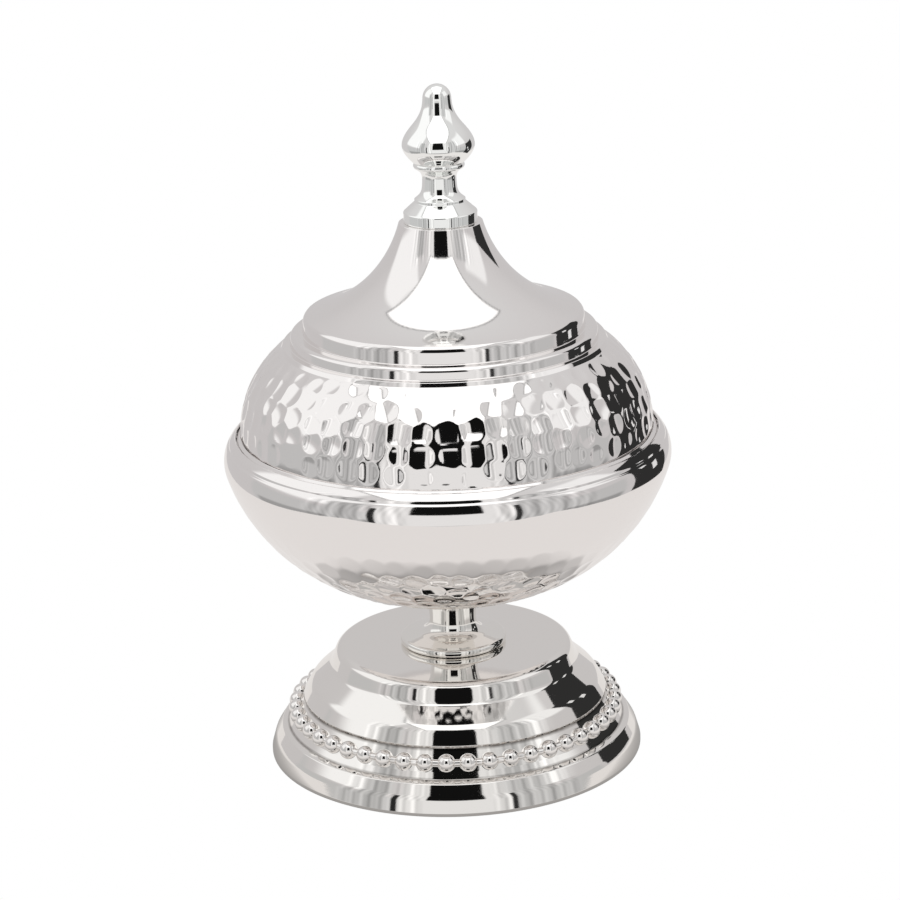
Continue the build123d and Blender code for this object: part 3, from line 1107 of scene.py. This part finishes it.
@dataclass
class Lid:
    """The spun lid with its hammered dome, three steps and hollow cone, and its ring."""

    seat_z: float = 119.25
    radius: float = 75.3
    ring_wall: float = 1.0
    ring_depth: float = 6.0
    skirt_radius: float = 71.0
    ring_edge: float = 0.15
    wall: float = 1.0
    foot_inset: float = 0.2
    foot_flare: float = 1.2
    foot_band: float = 0.6
    foot_height: float = 1.5
    dome_height: float = 31.2
    dome_top_radius: float = 58.1
    dome_round: float = 38.0
    lip_rise: float = 1.5
    step_height: float = 5.6
    step_inset: float = 3.3
    step_cove: float = 1.7
    shoulder_width: float = 7.9
    shoulder_height: float = 6.05
    cone_inset: float = 1.4
    cone_cove: float = 3.1
    cone_height: float = 32.25
    cone_top_radius: float = 14.8
    cone_round: float = 46.0
    screw_hole: float = 2.2
    crease: float = 0.3

    def outline(self) -> Outline:
        """The lid's sheet, outside from the screw hole down to its foot, and back inside.

        Returns:
            The closed half section. The inside keeps about one wall from the outside.
        """
        foot_r = self.radius - self.foot_inset
        foot_z = self.seat_z + self.ring_wall
        dome_z = foot_z + self.foot_height
        step_z = dome_z + self.dome_height
        shoulder_z = step_z + self.step_height
        shoulder_r = self.dome_top_radius - self.shoulder_width
        cone_z = shoulder_z + self.shoulder_height
        cone_r = shoulder_r - self.cone_inset
        step_r = self.dome_top_radius - self.step_inset
        top = cone_z + self.cone_height
        inner = self.wall
        outline = Outline(self.screw_hole, top).corners([
            Corner(self.cone_top_radius - 0.1, top, 0.1),
            Corner(self.cone_top_radius, top - 0.1),
        ])
        outline.bow(cone_r, cone_z, self.cone_round, step=1.1)
        outline.corners([
            Corner(cone_r + 1.0, cone_z - 0.95, self.cone_cove),
            Corner(shoulder_r, shoulder_z, self.crease),
            Corner(step_r - 0.4, shoulder_z, self.step_cove),
            Corner(step_r, step_z + self.lip_rise, self.crease),
            Corner(self.dome_top_radius - 0.8, step_z + self.lip_rise, self.crease),
            Corner(self.dome_top_radius, step_z),
        ])
        outline.bow(foot_r - self.foot_flare, dome_z, -self.dome_round, step=0.68, marks_from=0.0)
        outline.corners([
            Corner(foot_r, foot_z + self.foot_band, self.crease),
            Corner(foot_r, foot_z, 0.0),
            Corner(foot_r - inner, foot_z, 0.0),
            Corner(foot_r - inner - 0.2, foot_z + self.foot_band + 0.4, 0.2),
            Corner(foot_r - self.foot_flare - inner, dome_z),
        ])
        outline.bow(self.dome_top_radius - inner, step_z - 0.3, self.dome_round - inner, step=2.5)
        outline.corners([
            Corner(self.dome_top_radius - 1.8, step_z + 0.5, self.crease),
            Corner(step_r - inner, step_z + 0.5, self.crease),
            Corner(step_r - 1.4, shoulder_z - inner, 1.0),
            Corner(shoulder_r - inner, shoulder_z - inner, self.crease),
            Corner(cone_r + 0.2, cone_z - 1.7, 0.8),
            Corner(cone_r - 0.5, cone_z - 0.9),
        ])
        outline.bow(self.cone_top_radius - 1.0, top - inner, -self.cone_round - inner, step=2.5)
        return outline.line(self.screw_hole, top - inner).line(self.screw_hole, top)

    def marks(self) -> HammerMarks:
        """Five rows of hammer marks, the highest shallower than the others.

        Returns:
            The marks, with lengths from the dome's top edge.
        """
        rows = (
            HammerRow(3.4, 0.34, 0.030),
            HammerRow(10.3, 0.56, 0.030),
            HammerRow(17.0, 0.60, 0.030),
            HammerRow(24.0, 0.62, 0.034),
            HammerRow(31.2, 0.50, 0.034),
        )
        return HammerMarks(rows, width=8.4, seed=17)

    def ring_outline(self) -> Outline:
        """The ring under the lid: a flange on the ledge and a skirt in the mouth.

        Returns:
            The closed half section.
        """
        low, high = self.seat_z, self.seat_z + self.ring_wall
        back = self.skirt_radius - self.ring_wall
        return Outline(self.skirt_radius, low).corners([
            Corner(self.radius, low, self.ring_edge),
            Corner(self.radius, high, self.ring_edge),
            Corner(back, high, self.ring_edge),
            Corner(back, low - self.ring_depth, self.crease),
            Corner(self.skirt_radius, low - self.ring_depth, self.crease),
            Corner(self.skirt_radius, low),
        ])

    def dress(self, plate: Finish, ring_plate: Finish) -> None:
        """Build the lid and its ring and set them on the lid's body.

        Args:
            plate: The lid's finish.
            ring_plate: The ring's finish.
        """
        mesh = Turning(marks=self.marks()).mesh("hammered_lid", self.outline())
        stand_in(piece("hammered_lid", mesh, plate), "lid", "lid_shell", "lid_plate")
        ring = Turning(segments=360).mesh("lid_seat_ring", self.ring_outline())
        stand_in(piece("lid_seat_ring", ring, ring_plate), "lid", "lid_ring", "ring_plate")


@dataclass
class Finial:
    """The cast finial: tip, knob, bead, waist, ring and base."""

    base_z: float = 196.85
    height: float = 48.5
    tip_radius: float = 5.0
    knob_radius: float = 12.7
    knob_length: float = 22.6
    bead_radius: float = 9.0
    bead_height: float = 1.7
    waist_radius: float = 6.05
    waist_height: float = 13.7
    ring_radius: float = 8.95
    ring_height: float = 8.2
    base_radius: float = 13.0
    base_height: float = 3.7
    bore: float = 2.05
    bore_depth: float = 12.0
    bead_bulge: float = 0.3
    base_edge: float = 0.3
    base_round: float = 0.8

    def outline(self) -> Outline:
        """The finial's half section from its tip down to its base, and up its bore.

        Returns:
            The half section, which starts and ends on the axis.
        """
        top = self.base_z + self.height
        tip_z = top - self.tip_radius
        length, knob = self.knob_length, self.knob_radius
        bead_top = tip_z - length
        bead_foot = bead_top - self.bead_height
        neck = self.bead_radius - self.bead_bulge
        ring_z = self.base_z + self.ring_height
        outline = Outline(0.0, top).arc((0.0, tip_z), self.tip_radius, 90, 0, step=0.4)
        outline.spline([
            (self.tip_radius + 0.4, tip_z - 0.13 * length),
            (knob - 5.3, tip_z - 0.32 * length),
            (knob - 1.9, tip_z - 0.51 * length),
            (knob, tip_z - 0.74 * length),
            (knob - 1.5, tip_z - 0.88 * length),
            (neck, bead_top),
        ])
        outline.bow(neck, bead_foot, self._bulge(neck), step=0.15)
        outline.spline([
            (self.waist_radius + 0.55, bead_foot - 1.6),
            (self.waist_radius, self.base_z + self.waist_height),
            (self.waist_radius + 0.75, ring_z + 2.1),
            (self.ring_radius, ring_z),
        ])
        return outline.corners([
            Corner(self.ring_radius, ring_z - 0.9, self.base_edge),
            Corner(self.base_radius, self.base_z + self.base_height, self.base_round),
            Corner(self.base_radius, self.base_z, self.base_edge),
            Corner(self.bore, self.base_z, 0.0),
            Corner(self.bore, self.base_z + self.bore_depth, 0.0),
            Corner(0.0, self.base_z + self.bore_depth + self.bore),
        ])

    def _bulge(self, neck: float) -> float:
        """The radius of the bead's round edge, negative because it bulges outwards.

        Args:
            neck: The bead's radius at its upper and lower edge.

        Returns:
            The radius that Outline.bow takes.
        """
        half, out = self.bead_height / 2, self.bead_radius - neck
        return -(half**2 + out**2) / (2 * out)

    def dress(self, plate: Finish) -> None:
        """Build the finial and set it on the lid's body."""
        mesh = Turning(segments=256).mesh("turned_finial", self.outline(), closed=False)
        stand_in(piece("turned_finial", mesh, plate), "lid", "finial", "finial_plate")


@dataclass
class Fasteners:
    """The bolt, screw, nut and washers, which keep their CAD shapes."""

    steel_nodes: tuple[str, ...] = ("tie_bolt", "finial_screw")
    washer_nodes: tuple[str, ...] = ("bowl_washer", "foot_washer", "finial_washer")
    nut_nodes: tuple[str, ...] = ("tie_nut",)

    def dress(self, steel: Finish, brass: Finish, nut_brass: Finish) -> None:
        """Give each fastener its material.

        Args:
            steel: Finish of the bolt and the screw.
            brass: Finish of the washers.
            nut_brass: Finish of the nut.
        """
        for nodes, finish in (
            (self.steel_nodes, steel),
            (self.washer_nodes, brass),
            (self.nut_nodes, nut_brass),
        ):
            for name in nodes:
                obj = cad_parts[name]
                for slot in obj.material_slots:
                    slot.material = finish.material()
                LOG.info("%s: kept from the CAD, finish %s", name, finish.name)


# The studio


@dataclass(frozen=True)
class Patch:
    """One soft-edged field of the light tent, by azimuth from the front and elevation."""

    azimuths: tuple[float, float]
    elevations: tuple[float, float]
    colour: tuple[float, float, float]
    feather: float


@dataclass(frozen=True)
class Fold:
    """One wave of the tent's cloth: its share of the sway, its pitch, shift and depth."""

    sway: float
    pitch: float
    shift: float
    depth: float


@dataclass(frozen=True)
class Pane:
    """One upright pane of the screen, by azimuth from the front, height and distance."""

    azimuths: tuple[float, float]
    heights: tuple[float, float]
    away: float

    def corners(self) -> list[tuple[float, float, float]]:
        """The pane's four corners, in metres.

        Returns:
            The corners, from the lower left one round.
        """
        (low, high), (bottom, top) = self.azimuths, self.heights
        turns = [math.radians(azimuth) for azimuth in (low, high, high, low)]
        return [
            (self.away * math.sin(turn), -self.away * math.cos(turn), z)
            for turn, z in zip(turns, (bottom, bottom, top, top))
        ]


def grey(level: float, warmth: float = 0.0) -> tuple[float, float, float]:
    """A near-neutral light.

    Args:
        level: How bright it is.
        warmth: How much redder than green it is, and less blue.

    Returns:
        Its colour.
    """
    return (level * (1 + warmth), level, level * (1 - warmth))


@dataclass
class Studio:
    """A pale floor, a light tent, a dark screen and a camera."""

    tent_radius: float = 0.93
    tent_height: float = 0.15
    folds: tuple[Fold, ...] = (
        Fold(1.0, 47.0, 0.0, 0.55),
        Fold(-0.6, 101.0, 1.3, 0.3),
        Fold(0.3, 23.0, 0.4, 0.4),
    )
    fold_depth: float = 0.3
    panel_level: float = 1.25
    panel_across: tuple[float, float] = (-0.55, 0.52)
    panel_along: tuple[float, float] = (-1.05, 0.42)
    panel_feather: float = 0.06
    seam_depth: float = 0.75
    seam_at: float = 0.35
    table_half_width: float = 0.34
    table_front: float = -0.29
    table_back: float = 1.4
    camera_distance: float = 0.965
    camera_height: float = 0.41835
    pitch_deg: float = 17.58
    yaw_deg: float = 0.05
    roll_deg: float = 1.75
    focal_px: float = 2817.0
    photo_px: float = 900.0
    dark_level: float = 0.03
    pane_level: float = 0.8
    table_colour: tuple[float, float, float] = (0.82, 0.795, 0.78)
    # Painted shadow under the dish: within the first radius, in metres, the floor's reflected glow
    # sits at the given level, and it brightens to full by the second.
    painted_shadow_from: float = 0.066
    painted_shadow_to: float = 0.1
    painted_shadow_level: float = 0.4

    def patches(self) -> tuple[Patch, ...]:
        """The tent's fields, each laid over those before it.

        Returns:
            The fields, the lowest first.
        """
        return (
            Patch((-118, -58), (12, 60), grey(1.0), 7.0),
            Patch((56, 98), (20, 48), grey(0.95), 6.0),
            Patch((-112, -36), (-32, 6), grey(0.56), 4.0),
            Patch((32, 96), (-32, 8), grey(0.54), 4.0),
            Patch((-108, -36), (-32, -15), grey(0.36), 4.0),
            Patch((32, 94), (-32, -15), grey(0.33), 4.0),
            Patch((-62, -44), (-26, 37), grey(0.50), 3.0),
            Patch((18, 58), (-26, 42), grey(0.56), 3.0),
            Patch((-37, 31), (-28, 46), grey(0.84, 0.005), 1.6),
            Patch((-39.5, -36), (-26, 20), grey(0.03), 1.0),
            Patch((31.5, 34.5), (-26, 20), grey(0.03), 1.0),
            Patch((-80, 62), (-31, -27.5), grey(0.05), 1.6),
            Patch((-19, 16), (6, 43), grey(0.006), 0.8),
        )

    @staticmethod
    def _backdrop(elevation: np.ndarray) -> np.ndarray:
        """The tent's plain light, brightest overhead.

        Args:
            elevation: Elevation of each point of the tent, in degrees.

        Returns:
            The colour of each point.
        """
        heights = [-90, 0, 20, 35, 45, 55, 65, 90]
        levels = [0.60, 0.595, 0.61, 0.66, 0.68, 0.70, 0.72, 0.72]
        level = np.interp(elevation, heights, levels)
        tint = np.interp(elevation, [0, 40, 65], [0.018, 0.012, 0.0])
        return np.stack([level * (1 + share * tint) for share in (1.0, -0.5, -0.3)], 1)

    def _folds(self, azimuth: np.ndarray, elevation: np.ndarray) -> np.ndarray:
        """The shading of the cloth's folds, upright streaks to both sides of the camera.

        Args:
            azimuth: Azimuth of each point of the tent, in degrees from the front.
            elevation: Elevation of each point, in degrees.

        Returns:
            A factor for the light of each point.
        """
        sway = 2.5 * np.sin(np.radians(elevation * 4.0 + azimuth * 2.0))
        wave = sum(
            fold.depth * np.sin(np.radians((azimuth + fold.sway * sway) * fold.pitch) + fold.shift)
            for fold in self.folds
        )
        aside = np.abs(azimuth)
        near = np.clip((78 - aside) / 12, 0, 1) * np.clip((aside - 19) / 6, 0, 1)
        near *= np.clip((44 - elevation) / 6, 0, 1)
        return 1 + self.fold_depth * near * wave

    def _panel(self, azimuth: np.ndarray, elevation: np.ndarray) -> np.ndarray:
        """Where the overhead panel shows.

        Args:
            azimuth: Azimuth of each point of the tent, in degrees from the front.
            elevation: Elevation of each point, in degrees.

        Returns:
            One inside the panel, nothing outside its soft edge.
        """
        a, e = np.radians(azimuth), np.radians(np.maximum(elevation, 1.0))
        reach = 1 / np.tan(e)
        x, y = np.sin(a) * reach, -np.cos(a) * reach
        (left, right), (front, back) = self.panel_across, self.panel_along
        edge = np.minimum(np.minimum(x - left, right - x), np.minimum(y - front, back - y))
        return np.clip(edge / self.panel_feather + 0.5, 0, 1)

    def _light(self, azimuth: np.ndarray, elevation: np.ndarray) -> np.ndarray:
        """The tent's light: the plain light, the fields, the folds and the overhead panel.

        Args:
            azimuth: Azimuth of each point of the tent, in degrees from the front.
            elevation: Elevation of each point, in degrees.

        Returns:
            The colour of each point.
        """
        light = self._backdrop(elevation)
        for patch in self.patches():
            inside = np.ones_like(azimuth)
            for value, (low, high) in ((azimuth, patch.azimuths), (elevation, patch.elevations)):
                edge = np.minimum(value - low, high - value) / patch.feather + 0.5
                inside *= np.clip(edge, 0, 1)
            inside = (inside * inside * (3 - 2 * inside))[:, None]
            light = light * (1 - inside) + np.array(patch.colour) * inside
        light = light * self._folds(azimuth, elevation)[:, None]
        lit = self._panel(azimuth, elevation)[:, None]
        light = light * (1 - lit) + self.panel_level * lit
        seam = np.clip(1 - np.abs(lit - self.seam_at) / self.seam_at, 0, 1)
        return light * (1 - self.seam_depth * seam)

    def tent(self) -> bpy.types.Object:
        """The light tent: a sphere whose vertices carry its light, seen only in reflections.

        Returns:
            The tent.
        """
        # Half a degree apart in front, where the dish mirrors the tent, and coarser behind.
        front = np.linspace(-75, 75, 301)
        around = np.concatenate([np.linspace(-180, -76, 90), front, np.linspace(76, 180, 90)])
        columns, rows = len(around), 181
        azimuth = np.tile(around, rows)
        elevation = np.repeat(np.linspace(-90, 90, rows), columns)
        light = self._light(azimuth, elevation)
        a, e = np.radians(azimuth), np.radians(elevation)
        place = np.stack([np.sin(a) * np.cos(e), -np.cos(a) * np.cos(e), np.sin(e)], axis=1)
        place = place * self.tent_radius + np.array((0.0, 0.0, self.tent_height))
        faces = [
            (i, i + 1, i + columns + 1, i + columns)
            for row in range(rows - 1)
            for i in range(row * columns, row * columns + columns - 1)
        ]
        mesh = bpy.data.meshes.new("light_tent")
        mesh.from_pydata(place.tolist(), [], faces)
        store = mesh.color_attributes.new("tent_light", "FLOAT_COLOR", "POINT")
        store.data.foreach_set("color", np.column_stack([light, np.ones(len(light))]).ravel())
        made, graph = empty_material("tent_cloth")
        colour = graph.out("ShaderNodeAttribute", output="Color", attribute_name="tent_light")
        graph.surface(graph.out("ShaderNodeEmission", {"Color": colour}))
        mesh.materials.append(made)
        tent = placed("light_tent", mesh)
        tent.visible_camera = False
        tent.visible_shadow = False
        return tent

    def screen(self) -> bpy.types.Object:
        """A dark screen with two bright panes, close to the dish's right side.

        Returns:
            The screen, seen only in reflections.
        """
        panes = (
            Pane((94, 128), (0.02, 0.285), 0.30),
            Pane((101, 106), (0.15, 0.19), 0.283),
            Pane((110, 115), (0.09, 0.13), 0.28),
        )
        mesh = bpy.data.meshes.new("dark_screen")
        corners = [corner for pane in panes for corner in pane.corners()]
        faces = [tuple(range(4 * k, 4 * k + 4)) for k in range(len(panes))]
        mesh.from_pydata(corners, [], faces)
        for name, level in (("screen_dark", self.dark_level), ("screen_pane", self.pane_level)):
            made, graph = empty_material(name)
            graph.surface(graph.out("ShaderNodeEmission", {"Color": (*grey(level), 1.0)}))
            mesh.materials.append(made)
        for face in mesh.polygons[1:]:
            face.material_index = 1
        screen = placed("dark_screen", mesh)
        screen.visible_camera = False
        return screen

    def floor(self) -> bpy.types.Object:
        """The pale table top that the dish stands on.

        Returns:
            The table top, white to the camera, and in reflections darkened near the foot by a
            painted shadow.
        """
        x, front, back = self.table_half_width, self.table_front, self.table_back
        mesh = bpy.data.meshes.new("table_top")
        corners = [(-x, front, 0), (x, front, 0), (x, back, 0), (-x, back, 0)]
        mesh.from_pydata(corners, [], [(0, 1, 2, 3)])
        made, graph = empty_material("table_cloth")
        seen = graph.out("ShaderNodeLightPath", output="Is Camera Ray")
        white = graph.out("ShaderNodeEmission", {"Color": (*grey(1.0), 1.0)})
        # Painted shadow: in reflections the floor's glow is dimmed close to the dish's axis,
        # standing in for the shade under the dish.
        place = graph.out("ShaderNodeTexCoord", output="Object")
        away = graph.out("ShaderNodeVectorMath", {0: place}, "Value", operation="LENGTH")
        reach = {0: away, 1: self.painted_shadow_from, 2: self.painted_shadow_to, 3: self.painted_shadow_level, 4: 1.0}
        strength = graph.out("ShaderNodeMapRange", reach)
        shadowed_glow = {"Color": (*self.table_colour, 1.0), "Strength": strength}
        pale = graph.out("ShaderNodeEmission", shadowed_glow)
        graph.surface(graph.out("ShaderNodeMixShader", {0: seen, 1: pale, 2: white}))
        mesh.materials.append(made)
        return placed("table_top", mesh)

    def backdrop(self) -> None:
        """A plain white world round the tent."""
        world = bpy.data.worlds.new("white_room")
        bpy.context.scene.world = world
        world.use_nodes = True
        world.node_tree.nodes["Background"].inputs["Color"].default_value = (1.0, 1.0, 1.0, 1.0)
        bpy.context.scene.view_settings.view_transform = "Standard"

    def camera(self) -> None:
        """The camera, at the photograph's viewing angle."""
        lens = bpy.data.cameras.new("studio_camera")
        lens.sensor_width = 36.0
        lens.lens = self.focal_px / self.photo_px * lens.sensor_width
        lens.clip_start = 0.01
        holder = placed("studio_camera", lens)
        turn = Matrix.Rotation(math.radians(-self.yaw_deg), 4, "Z")
        tilt = Matrix.Rotation(math.radians(90 - self.pitch_deg), 4, "X")
        roll = Matrix.Rotation(math.radians(-self.roll_deg), 4, "Z")
        place = Matrix.Translation((0, -self.camera_distance, self.camera_height))
        holder.matrix_world = place @ turn @ tilt @ roll
        bpy.context.scene.camera = holder

    def set_up(self) -> None:
        """Build the floor, the tent, the screen, the backdrop and the camera."""
        self.floor()
        self.tent()
        self.screen()
        self.backdrop()
        self.camera()
        LOG.info("studio: tent, screen, table top and camera stand")


# Finishes, and the build


SILVER = (0.90, 0.876, 0.864)
LID_PLATE = Finish("lid_silver", SILVER, Gloss.POLISHED, haze=0.03)
BOWL_PLATE = Finish("bowl_silver", SILVER, Gloss.POLISHED, haze=0.03)
FOOT_PLATE = Finish(
    "foot_silver",
    (0.89, 0.87, 0.845),
    Gloss.MIRROR,
    haze=0.04,
    stains=(Stain(55.4, 20.4, 1.1), Stain(61.4, 11.0, 0.9)),
)
BEAD_PLATE = Finish("bead_silver", (0.89, 0.87, 0.85), Gloss.MIRROR, haze=0.05)
STEM_PLATE = Finish("stem_silver", (0.88, 0.865, 0.835), Gloss.POLISHED, haze=0.03)
RING_PLATE = Finish("ring_silver", (0.87, 0.85, 0.83), Gloss.POLISHED, haze=0.05)
FINIAL_PLATE = Finish("finial_silver", (0.97, 0.975, 0.96), Gloss.MIRROR, haze=0.04)
BOLT_STEEL = Finish("turned_steel", (0.56, 0.55, 0.54), Gloss.TURNED, haze=0.1, bump=0.15)
WASHER_BRASS = Finish("washer_brass", (0.62, 0.45, 0.2), Gloss.DULL, haze=0.15, bump=0.15)
NUT_BRASS = Finish("nut_brass", (0.64, 0.47, 0.22), Gloss.TURNED, haze=0.15, bump=0.15)


def main() -> None:
    """Build the dish from its foot up, then the studio."""
    logging.basicConfig(level=logging.INFO, format="%(message)s")
    Foot().dress(FOOT_PLATE, BEAD_PLATE)
    Stem().dress(STEM_PLATE)
    Bowl().dress(BOWL_PLATE)
    Lid().dress(LID_PLATE, RING_PLATE)
    Finial().dress(FINIAL_PLATE)
    Fasteners().dress(BOLT_STEEL, WASHER_BRASS, NUT_BRASS)
    Studio().set_up()


if __name__ == "__main__":
    main()
